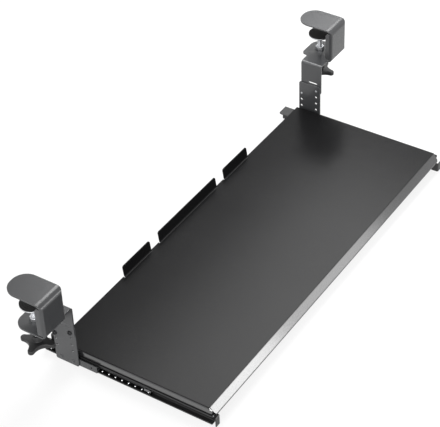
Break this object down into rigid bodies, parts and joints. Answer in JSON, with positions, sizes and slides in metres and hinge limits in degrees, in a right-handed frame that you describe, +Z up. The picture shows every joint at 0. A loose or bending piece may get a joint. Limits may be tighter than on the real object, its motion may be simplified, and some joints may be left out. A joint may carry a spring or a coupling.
{
  "type": "under-desk sliding keyboard tray",
  "caption": "Wide sheet-metal keyboard tray on ball slides, hung under a desk's front edge by screw clamps with height-adjustable side brackets.",
  "frame": {"origin": "on the desk's upper front edge, at the tray's mid-width", "axes": "+X to the user's right along the desk's edge, +Y from the user into the desk, +Z up"},
  "size_m": [0.841, 0.3, 0.1786],
  "materials": {
    "tray_coat": "fine matt black powder coat on folded steel sheet",
    "clamp_coat": "satin dark grey powder coat on folded steel plate",
    "slide_coat": "black electro-coat on roll-formed steel",
    "zinc_steel": "bright zinc plating",
    "cage_steel": "grey phosphated steel strip",
    "ball_steel": "polished bearing steel",
    "black_screw": "black oxide on steel screws, bright at their cut ends",
    "black_plastic": "moulded black plastic",
    "pad_rubber": "solid black rubber with a grooved face"
  },
  "bodies": {
    "frame": {"left_clamp": "clamp_coat", "right_clamp": "clamp_coat", "left_top_pad": "pad_rubber", "right_top_pad": "pad_rubber", "left_jaw_nut": "zinc_steel", "right_jaw_nut": "zinc_steel", "left_bracket": "clamp_coat", "right_bracket": "clamp_coat", "bracket_screws": "black_screw", "left_runner": "clamp_coat", "right_runner": "clamp_coat", "runner_rivets": "clamp_coat"},
    "tray": {"tray": "tray_coat", "left_tray_rail": "slide_coat", "right_tray_rail": "slide_coat", "left_channel": "slide_coat", "right_channel": "slide_coat", "channel_rivets": "zinc_steel", "rail_studs": "zinc_steel", "rail_nuts": "zinc_steel", "slide_stops": "black_plastic"},
    "left_cage": {"left_ball_cage": "cage_steel", "left_balls": "ball_steel"},
    "left_foot": {"left_pressure_plate": "zinc_steel", "left_pressure_pad": "pad_rubber"},
    "left_screw": {"left_clamp_screw": "zinc_steel", "left_knob": "black_plastic"},
    "right_cage": {"right_ball_cage": "cage_steel", "right_balls": "ball_steel"},
    "right_foot": {"right_pressure_plate": "zinc_steel", "right_pressure_pad": "pad_rubber"},
    "right_screw": {"right_clamp_screw": "zinc_steel", "right_knob": "black_plastic"}
  },
  "joints": [
    {"name": "tray_slide", "type": "slide", "parent": "frame", "child": "tray", "axis": [0, 1, 0], "range_m": [0, 0.195]},
    {"name": "left_cage_roll", "type": "slide", "parent": "frame", "child": "left_cage", "axis": [0, 1, 0], "range_m": [0, 0.0975]},
    {"name": "left_foot_lift", "type": "slide", "parent": "frame", "child": "left_foot", "axis": [0, 0, 1], "range_m": [-0.0175, 0.02]},
    {"name": "left_screw_turn", "type": "hinge", "parent": "left_foot", "child": "left_screw", "pos_m": [-0.39375, 0.025, -0.0637], "axis": [0, 0, 1], "range_deg": [-5040, 5760]},
    {"name": "right_cage_roll", "type": "slide", "parent": "frame", "child": "right_cage", "axis": [0, 1, 0], "range_m": [0, 0.0975]},
    {"name": "right_foot_lift", "type": "slide", "parent": "frame", "child": "right_foot", "axis": [0, 0, 1], "range_m": [-0.0175, 0.02]},
    {"name": "right_screw_turn", "type": "hinge", "parent": "right_foot", "child": "right_screw", "pos_m": [0.39375, 0.025, -0.0637], "axis": [0, 0, 1], "range_deg": [-5040, 5760]}
  ],
  "couplings": [
    {"joint": "left_cage_roll", "follows": "tray_slide", "ratio": 0.5},
    {"joint": "left_screw_turn", "follows": "left_foot_lift", "rad_per_m": 5026.5},
    {"joint": "right_cage_roll", "follows": "tray_slide", "ratio": 0.5},
    {"joint": "right_screw_turn", "follows": "right_foot_lift", "rad_per_m": 5026.5}
  ]
}
